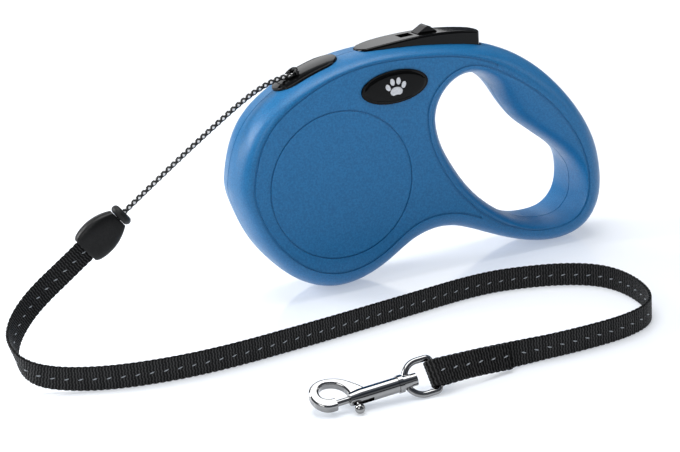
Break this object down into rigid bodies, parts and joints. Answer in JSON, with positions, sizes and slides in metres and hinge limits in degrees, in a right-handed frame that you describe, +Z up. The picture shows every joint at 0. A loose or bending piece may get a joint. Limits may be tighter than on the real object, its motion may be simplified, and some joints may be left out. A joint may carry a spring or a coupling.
{
  "type": "retractable leash",
  "caption": "Retractable pet leash: ring-handled two-shell housing with sprung cord reel, brake button and lock, braided cord, webbing strap, D-ring and bolt snap.",
  "frame": {"origin": "centre of the housing's bounding box at floor level, the leash end not counted", "axes": "+X from the reel to the hand grip, +Y from the badge side to the screw side, +Z up"},
  "size_m": [0.2711, 0.1376, 0.1041],
  "materials": {
    "housing_blue": "satin moulded, fine grain",
    "black_gloss": "glossy moulded",
    "black_matte": "matte moulded",
    "black_rubber": "soft matte",
    "inner_plastic": "plain moulded",
    "steel": "bright zinc",
    "chrome_plate": "polished plating",
    "cord_braid": "black and white braided cord",
    "webbing": "woven black with a reflective stitched line"
  },
  "bodies": {
    "housing": {"housing_front": "housing_blue", "housing_back": "housing_blue", "cord_outlet_plate": "black_gloss", "outlet_eyelet": "black_gloss", "oval_badge": "black_gloss", "housing_screws": "steel", "reel_axle": "steel", "thrust_washer": "inner_plastic", "button_pivot_pin": "steel", "button_spring": "steel", "cord_lead": "cord_braid"},
    "reel": {"spool": "inner_plastic", "cord_winding": "cord_braid", "mainspring": "steel", "spring_cover": "inner_plastic"},
    "brake": {"brake_button": "black_gloss", "brake_pawl": "black_matte"},
    "lock": {"lock_slider": "black_gloss"},
    "leash_end": {"cord": "cord_braid", "cord_bumper": "black_rubber", "connector_front": "black_matte", "connector_back": "black_matte", "cord_knot": "cord_braid", "strap": "webbing", "strap_fold": "webbing"},
    "ring": {"d_ring": "chrome_plate"},
    "snap": {"snap_hook": "chrome_plate", "swivel_rivet": "chrome_plate", "bolt_spring": "steel"},
    "bolt": {"snap_bolt": "chrome_plate", "thumb_stud": "chrome_plate"}
  },
  "joints": [
    {"name": "cord_pull", "type": "slide", "parent": "housing", "child": "leash_end", "axis": [-1, 0, 0], "range_m": [-0.01741, 0.08705], "deforming": ["cord"]},
    {"name": "reel_spin", "type": "hinge", "parent": "housing", "child": "reel", "pos_m": [-0.0415, 0, 0.047], "axis": [0, 1, 0], "range_deg": [-151, 31], "deforming": ["mainspring"]},
    {"name": "brake_press", "type": "hinge", "parent": "housing", "child": "brake", "pos_m": [-0.0225, 0, 0.094], "axis": [0, 1, 0], "range_deg": [0, 4.5], "stiffness_Nm_per_rad": 0.5, "springref_deg": -5.73, "deforming": ["button_spring"]},
    {"name": "lock_slide", "type": "slide", "parent": "brake", "child": "lock", "axis": [-0.9988, 0, 0.0489], "range_m": [0, 0.004]},
    {"name": "d_ring_pivot", "type": "hinge", "parent": "leash_end", "child": "ring", "pos_m": [-0.0522, -0.1174, 0.0064], "axis": [-0.038, 0.6408, 0.7668], "range_deg": [-45, 45]},
    {"name": "snap_swivel", "type": "hinge", "parent": "ring", "child": "snap", "pos_m": [-0.06317, -0.11708, 0.00559], "axis": [-0.9969, 0.0289, -0.0735], "continuous": true},
    {"name": "bolt_slide", "type": "slide", "parent": "snap", "child": "bolt", "axis": [0.9969, -0.0289, 0.0735], "range_m": [0, 0.005], "stiffness_N_per_m": 60, "springref_m": -0.003, "deforming": ["bolt_spring"]}
  ],
  "couplings": [
    {"joint": "reel_spin", "follows": "cord_pull", "rad_per_m": -30.075}
  ]
}
